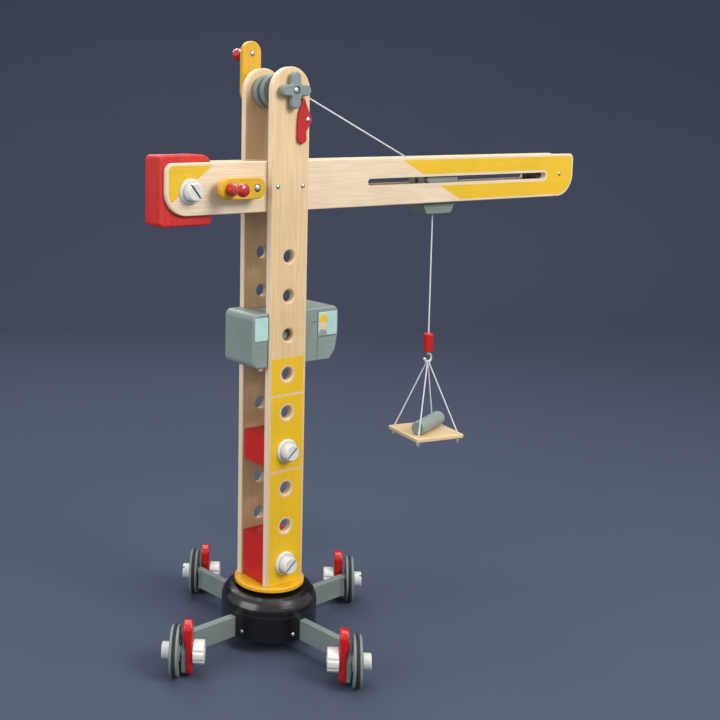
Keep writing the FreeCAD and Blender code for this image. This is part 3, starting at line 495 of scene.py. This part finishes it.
rb = rubber("tyre_rubber")
for q in ("front_left", "front_right", "rear_left", "rear_right"):
    assign("tyre_" + q, rb)


# ------------------------------------------------------------- mesh helpers
def new_mesh(name, verts, faces, mat, smooth=True, uvs=None):
    me = bpy.data.meshes.new(name)
    me.from_pydata([tuple(v) for v in verts], [], faces)
    me.update()
    if uvs is not None:
        uvl = me.uv_layers.new(name="UVMap")
        k = 0
        for p in me.polygons:
            for li in p.loop_indices:
                uvl.data[li].uv = uvs[k]
                k += 1
    for p in me.polygons:
        p.use_smooth = smooth
    me.materials.append(mat.mat)
    o = bpy.data.objects.new(name, me)
    bpy.context.scene.collection.objects.link(o)
    return o


def frame_along(t, ref):
    t = t.normalized()
    n = (ref - t * ref.dot(t))
    if n.length < 1e-6:
        n = Vector((1, 0, 0)) - t * t.x
    n.normalize()
    return n, t.cross(n)


def tube(path, r, sides=12, strands=0, pitch=5 * MM, amp=0.16, caps=True):
    """Verts, faces, uvs of a tube along a list of points. strands > 0 gives a laid-rope section."""
    verts, faces, uvs = [], [], []
    n, L = len(path), 0.0
    ref = Vector((0.3, 0.9, 0.2))
    Ls = [0.0]
    for i in range(1, n):
        L += (path[i] - path[i - 1]).length
        Ls.append(L)
    for i, p in enumerate(path):
        t = (path[min(i + 1, n - 1)] - path[max(i - 1, 0)])
        a, b = frame_along(t, ref)
        ref = a
        for k in range(sides):
            ang = 2 * math.pi * k / sides
            rr = r
            if strands:
                rr = r * (1 - amp + amp * abs(math.cos((ang * strands + 2 * math.pi * Ls[i] / pitch * 1.0) / 2.0)) * 2 - amp * 0.4)
            verts.append(p + (a * math.cos(ang) + b * math.sin(ang)) * rr)
    for i in range(n - 1):
        for k in range(sides):
            k2 = (k + 1) % sides
            faces.append((i * sides + k, i * sides + k2, (i + 1) * sides + k2, (i + 1) * sides + k))
            uvs += [(k / sides, Ls[i]), ((k + 1) / sides, Ls[i]), ((k + 1) / sides, Ls[i + 1]), (k / sides, Ls[i + 1])]
    if caps:
        c0, c1 = len(verts), len(verts) + 1
        verts += [path[0].copy(), path[-1].copy()]
        for k in range(sides):
            k2 = (k + 1) % sides
            faces.append((k2, k, c0))
            uvs += [(0, 0), (0, 0), (0, 0)]
            faces.append(((n - 1) * sides + k, (n - 1) * sides + k2, c1))
            uvs += [(0, L), (0, L), (0, L)]
    return verts, faces, uvs


def join(parts):
    V, F, U = [], [], []
    for v, f, u in parts:
        o = len(V)
        V += v
        F += [tuple(i + o for i in ff) for ff in f]
        U += u
    return V, F, U


def smooth_path(pts, n=8):
    """Catmull-Rom through the points."""
    out = []
    P = [pts[0]] + list(pts) + [pts[-1]]
    for i in range(1, len(P) - 2):
        p0, p1, p2, p3 = P[i - 1], P[i], P[i + 1], P[i + 2]
        for k in range(n):
            t = k / n
            out.append(0.5 * ((2 * p1) + (p2 - p0) * t + (2 * p0 - 5 * p1 + 4 * p2 - p3) * t * t + (3 * p1 - p0 - 3 * p2 + p3) * t ** 3))
    out.append(pts[-1].copy())
    return out


def straight(a, b, step):
    n = max(2, int((b - a).length / step))
    return [a.lerp(b, i / n) for i in range(n + 1)]


CORD = cord_mat("laid_cord")
CR = 1.02 * MM

# hoist cord: winch to trolley, a straight run of only two rings
b0, b1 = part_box("hoist_cord_upper")
pin0, pin1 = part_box("trolley_guide_pin")
sp0, sp1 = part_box("winch_spool")
wz = (sp0.z + sp1.z) / 2
pc = (pin0 + pin1) / 2
start = Vector((b0.x + 0.0009, 0.0090, b1.z - 0.0009))
end = Vector((pc.x - 0.0010, 0.0, pc.z + 0.0050))
v, f, u = tube([start, end], CR, 14)
up = new_mesh("hoist_cord_to_trolley", v, f, CORD, True, u)
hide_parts("hoist_cord_upper")
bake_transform(up)

# over the guide pin and down to the trolley's mouth
l0, l1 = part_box("hoist_cord_lower")
lx = (l0.x + l1.x) / 2
arcp = []
rr = 0.0050
for i in range(9):
    a = math.radians(100 - 100 * i / 8)
    arcp.append(Vector((pc.x + rr * math.cos(a), 0, pc.z + rr * math.sin(a))))
arcp.append(Vector((lx, 0, pc.z - 0.006)))
v, f, u = tube(smooth_path(arcp, 4), CR, 14, 3, 4.2 * MM)
turn = new_mesh("hoist_cord_over_pin", v, f, CORD, True, u)
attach(turn, "trolley_car")

# falling run, laid strands
hw0, hw1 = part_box("hook_weight")
top = Vector((lx, 0, pc.z - 0.005))
bot = Vector((lx, 0, hw1.z - 0.004))
v, f, u = tube(straight(top, bot, 0.8 * MM), CR, 12, 3, 4.2 * MM)
low = new_mesh("hoist_cord_fall", v, f, CORD, True, u)
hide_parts("hoist_cord_lower")
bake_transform(low)

# cord wound on the winch drum
parts = []
wr = 0.0150
pts = []
turns, n = 3.0, 96
for i in range(n + 1):
    a = -2 * math.pi * turns * i / n + math.radians(62)
    yy = 0.0076 + 0.0034 * (0.5 - 0.5 * math.cos(math.pi * 2 * i / n * 1.5)) + 0.0002
    pts.append(Vector((wr * math.cos(a), yy, wz + wr * math.sin(a))))
v, f, u = tube(pts, CR, 10, 3, 4.2 * MM)
wound = new_mesh("hoist_cord_wound", v, f, CORD, True, u)
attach(wound, "winch")

# trolley cord inside the jib: reel to trolley, trolley to end roller
rl0, rl1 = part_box("trolley_reel")
rc = Vector(((rl0.x + rl1.x) / 2, 0, (rl0.z + rl1.z) / 2))
er0, er1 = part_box("jib_end_roller")
ec = Vector(((er0.x + er1.x) / 2, 0, (er0.z + er1.z) / 2))
t0, t1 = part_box("trolley")
a0 = Vector((rc.x, 0, rc.z + 0.0094))
a1 = Vector((t0.x + 0.002, 0, rc.z + 0.0094))
v, f, u = tube([a0, a1], 0.9 * MM, 14)
dl = new_mesh("trolley_cord_left", v, f, CORD, True, u)
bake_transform(dl)
th = math.radians(21)
c0 = Vector((ec.x - 0.0136 * math.sin(th), 0, ec.z + 0.0136 * math.cos(th)))
c1 = Vector((t1.x - 0.002, 0, rc.z + 0.0094))
v, f, u = tube([c0, c1], 0.9 * MM, 14)
dr = new_mesh("trolley_cord_right", v, f, CORD, True, u)
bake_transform(dr)

# platform cords: from a lark's head over the hook to a knot below each corner
pl0, pl1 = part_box("load_platform")
hk0, hk1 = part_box("hook")
pcx, pcy = (pl0.x + pl1.x) / 2, (pl0.y + pl1.y) / 2
ring_b = hk0.z + 0.0031 / 2
ca, sa = math.cos(math.radians(-12.5)), math.sin(math.radians(-12.5))
parts = []
for sx in (-1, 1):
    for sy in (-1, 1):
        x_, y_ = sx * 0.033, sy * 0.033
        g = Vector((pcx + x_ * ca - y_ * sa, pcy + x_ * sa + y_ * ca, 0))
        d = Vector((g.x - pcx, g.y - pcy, 0))
        u_ = d.normalized()
        p = [Vector((pcx, 0, ring_b + 0.0026)) + u_ * 0.0006,
             Vector((pcx, 0, ring_b + 0.0016)) + u_ * 0.0024,
             Vector((pcx, 0, ring_b - 0.0030)) + u_ * 0.0030]
        q = Vector((g.x, g.y, pl1.z + 0.0030)) - u_ * 0.0008
        path = smooth_path(p, 5) + straight(p[-1], q, 2.0 * MM)[1:]
        tail = smooth_path([q, Vector((g.x, g.y, pl1.z + 0.0006)), Vector((g.x, g.y, pl0.z - 0.0012))], 5)
        path += tail[1:]
        parts.append(tube(path, CR * 0.95, 12, 3, 4.2 * MM))
        # overhand knot under the board
        kn = []
        for i in range(41):
            t = 2 * math.pi * i / 40 * 1.5 + 0.4
            w_ = i / 40
            kn.append(Vector((g.x + 0.0019 * math.cos(t), g.y + 0.0019 * math.sin(t), pl0.z - 0.0016 - 0.0030 * w_ + 0.0008 * math.sin(2 * t))))
        parts.append(tube(kn, CR, 10, 3, 4.2 * MM))
        end_ = kn[-1]
        parts.append(tube(smooth_path([end_, Vector((g.x + 0.0004, g.y, pl0.z - 0.0052)), Vector((g.x + 0.0012, g.y + 0.0006, pl0.z - 0.0078))], 4), CR * 0.95, 10, 3, 4.2 * MM))
v, f, u = join(parts)
pcords = new_mesh("platform_cord_set", v, f, CORD, True, u)
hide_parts("platform_cords")
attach(pcords, "load_stage")


# --------------------------------------------------------- cab window panels
def panel(name, outline, y0, y1, mat, bev=0.5 * MM):
    """Thin plate in the XZ plane with softened rim, from y0 (back) to y1 (front)."""
    bm = bmesh.new()
    vs = [bm.verts.new((x, y0, z)) for x, z in outline]
    f_ = bm.faces.new(vs)
    ex = bmesh.ops.extrude_face_region(bm, geom=[f_])
    for g in ex["geom"]:
        if isinstance(g, bmesh.types.BMVert):
            g.co.y = y1
    bmesh.ops.recalc_face_normals(bm, faces=bm.faces)
    rim = [e for e in bm.edges if all(abs(v.co.y - y1) < 1e-7 for v in e.verts)]
    bmesh.ops.bevel(bm, geom=rim, offset=bev, segments=3, profile=0.6, affect="EDGES")
    me = bpy.data.meshes.new(name)
    bm.to_mesh(me)
    bm.free()
    me.materials.append(mat.mat)
    o = bpy.data.objects.new(name, me)
    bpy.context.scene.collection.objects.link(o)
    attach(o, "cab_lift")
    return o


def round_rect(x0, x1, z0, z1, r, n=6, which=(1, 1, 1, 1)):
    pts = []
    for (cx, cz, a0, w) in ((x1 - r, z0 + r, -90, which[0]), (x1 - r, z1 - r, 0, which[1]), (x0 + r, z1 - r, 90, which[2]), (x0 + r, z0 + r, 180, which[3])):
        rr_ = r if w else 1e-5
        ccx = cx if w else (x1 - 1e-5 if cx > (x0 + x1) / 2 else x0 + 1e-5)
        ccz = cz if w else (z1 - 1e-5 if cz > (z0 + z1) / 2 else z0 + 1e-5)
        for i in range(n + 1):
            a = math.radians(a0 + 90 * i / n)
            pts.append((ccx + rr_ * math.cos(a), ccz + rr_ * math.sin(a)))
    return pts


def ellipse(cx, cz, rx, rz, a0=0, a1=360, n=28):
    return [(cx + rx * math.cos(math.radians(a0 + (a1 - a0) * i / n)), cz + rz * math.sin(math.radians(a0 + (a1 - a0) * i / n)))
            for i in range(n + (0 if a1 - a0 >= 360 else 1))]


AQUA = plastic("window_aqua", (178, 214, 204), 0.24, 0.4, 0.04, wear_and_highlight=0.2)
CABD = plastic("door_line", (84, 96, 90), 0.5, 0.0, 0.05)
HELM = plastic("helmet_yellow", (232, 190, 52), 0.34, 0.2, 0.04)
SKIN = plastic("plain_face", (232, 190, 150), 0.5, 0.0, 0.04)
BODY = plastic("driver_jacket", (150, 150, 146), 0.5, 0.0, 0.04)
c0_, c1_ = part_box("cab")
for sgn, tag in ((-1, "front"), (1, "back")):
    yf = (c0_.y if sgn < 0 else c1_.y)
    def Y(d):
        return yf + sgn * d * MM
    fx = 1
    # nose window with the seated driver, tail window, door outline
    panel("cab_nose_window_" + tag, round_rect(c1_.x - 0.0345, c1_.x - 0.0028, c0_.z + 0.0335, c1_.z - 0.0065, 0.0016), Y(-0.2), Y(0.55), AQUA)
    panel("cab_tail_window_" + tag, round_rect(c0_.x + 0.0030, -0.0312, c0_.z + 0.0365, c1_.z - 0.0050, 0.0016), Y(-0.2), Y(0.55), AQUA)
    wx = c1_.x - 0.0345
    wz0 = c0_.z + 0.0335
    dxm = wx + 0.0084
    panel("cab_driver_jacket_" + tag, [(wx + 0.0006, wz0 + 0.0006), (wx + 0.0146, wz0 + 0.0006), (wx + 0.0142, wz0 + 0.0048), (wx + 0.0120, wz0 + 0.0078),
          (wx + 0.0084, wz0 + 0.0088), (wx + 0.0036, wz0 + 0.0080), (wx + 0.0006, wz0 + 0.0056)], Y(0.3), Y(0.85), BODY, 0.25 * MM)
    panel("cab_driver_head_" + tag, ellipse(dxm, wz0 + 0.0146, 0.0055, 0.0072), Y(0.35), Y(0.95), SKIN, 0.25 * MM)
    panel("cab_driver_helmet_" + tag, ellipse(wx + 0.0080, wz0 + 0.0186, 0.0074, 0.0106, 0, 180) , Y(0.4), Y(1.15), HELM, 0.3 * MM)
    panel("cab_door_seam_" + tag, round_rect(wx - 0.0016, wx - 0.0007, c0_.z + 0.0030, c1_.z - 0.0030, 0.0003, 3), Y(-0.2), Y(0.25), CABD, 0.1 * MM)
    panel("cab_door_handle_" + tag, round_rect(wx - 0.0125, wx - 0.0040, c0_.z + 0.0535, c0_.z + 0.0552, 0.0006, 4), Y(-0.2), Y(0.8), st, 0.2 * MM)
    panel("cab_sill_seam_" + tag, round_rect(wx + 0.0002, c1_.x - 0.0035, c0_.z + 0.0318, c0_.z + 0.0326, 0.0003, 3), Y(-0.2), Y(0.25), CABD, 0.1 * MM)

# ------------------------------------------------------------ stage and light
FLOOR = Mat("stage_floor")
nf = FLOOR.noise(FLOOR.co, 3.0, 2.0)
FLOOR.set(color=FLOOR.mix(nf * 0.3, rgb(70, 77, 95), rgb(63, 70, 88)), rough=0.95, spec=0.15)
bm = bmesh.new()
# floor sweeping up into a wall far behind the object
prof = [(-3.0, 0.0), (2.2, 0.0)]
for i in range(13):
    a = math.radians(-90 + 90 * i / 12)
    prof.append((2.2 + 1.2 * math.cos(a), 1.2 + 1.2 * math.sin(a)))
prof.append((3.4, 5.0))
view_az = math.radians(32.4)
fw = Vector((math.sin(view_az), math.cos(view_az), 0))
rt = Vector((math.cos(view_az), -math.sin(view_az), 0))
rows = []
for d, z in prof:
    rows.append([bm.verts.new(fw * d + rt * s_ + Vector((0, 0, z - 0.0002))) for s_ in (-5, 5)])
for i in range(len(rows) - 1):
    bm.faces.new((rows[i][0], rows[i][1], rows[i + 1][1], rows[i + 1][0]))
me = bpy.data.meshes.new("stage_floor")
bm.to_mesh(me)
bm.free()
for p in me.polygons:
    p.use_smooth = True
me.materials.append(FLOOR.mat)
floor = bpy.data.objects.new("stage_floor", me)
bpy.context.scene.collection.objects.link(floor)


def area(name, loc, target, size, power, col=(1, 1, 1)):
    ld = bpy.data.lights.new(name, "AREA")
    ld.energy = power
    ld.size = size
    ld.color = col
    o = bpy.data.objects.new(name, ld)
    o.location = loc
    d = Vector(target) - Vector(loc)
    o.rotation_euler = d.to_track_quat("-Z", "Y").to_euler()
    bpy.context.scene.collection.objects.link(o)
    return o


mid = Vector((0.12, 0, 0.40))
area("key_light", mid - fw * 1.5 + rt * 1.5 + Vector((0, 0, 1.5)), mid, 1.1, 54, (1.0, 0.98, 0.95))
area("fill_light", mid - fw * 1.3 - rt * 1.9 + Vector((0, 0, 0.7)), mid, 1.6, 29, (0.95, 0.97, 1.0))
area("top_light", mid + Vector((0, 0, 2.2)), mid, 1.6, 26)
area("rim_light", mid + fw * 1.5 - rt * 0.6 + Vector((0, 0, 1.4)), mid, 1.0, 14)
w = bpy.data.worlds.new("studio")
w.use_nodes = True
w.node_tree.nodes["Background"].inputs[0].default_value = (0.93, 0.95, 1.0, 1)
w.node_tree.nodes["Background"].inputs[1].default_value = 0.64
bpy.context.scene.world = w
bpy.context.scene.view_settings.view_transform = "Standard"

# ---------------------------------------------------------------------- camera
F, CX, CY = 724.47, 207.77, 271.55
AZ, EL, RO = math.radians(32.359), math.radians(7.163), math.radians(0.128)
TX, TY, TZ, DIST = -0.15075, 0.00155, 0.53593, 1.34785
ZOOM, VX, VY = 1.5, 330.5, 342.0
fwd = Vector((math.sin(AZ) * math.cos(EL), math.cos(AZ) * math.cos(EL), -math.sin(EL)))
right = Vector((math.cos(AZ), -math.sin(AZ), 0))
upv = right.cross(fwd)
r2 = right * math.cos(RO) + upv * math.sin(RO)
u2 = -right * math.sin(RO) + upv * math.cos(RO)
cam_d = bpy.data.cameras.new("cam")
cam = bpy.data.objects.new("cam", cam_d)
bpy.context.scene.collection.objects.link(cam)
cam.matrix_world = Matrix((
    (r2.x, u2.x, -fwd.x, TX - fwd.x * DIST),
    (r2.y, u2.y, -fwd.y, TY - fwd.y * DIST),
    (r2.z, u2.z, -fwd.z, TZ - fwd.z * DIST),
    (0, 0, 0, 1)))
cam_d.sensor_width = 36.0
cam_d.sensor_fit = "HORIZONTAL"
cam_d.lens = F * ZOOM / 720.0 * 36.0
pxx = 360.0 + (CX - VX) * ZOOM
pyy = 360.0 + (CY - VY) * ZOOM
cam_d.shift_x = (360.0 - pxx) / 720.0
cam_d.shift_y = (pyy - 360.0) / 720.0
cam_d.clip_start = 0.01
cam_d.clip_end = 50
bpy.context.scene.camera = cam
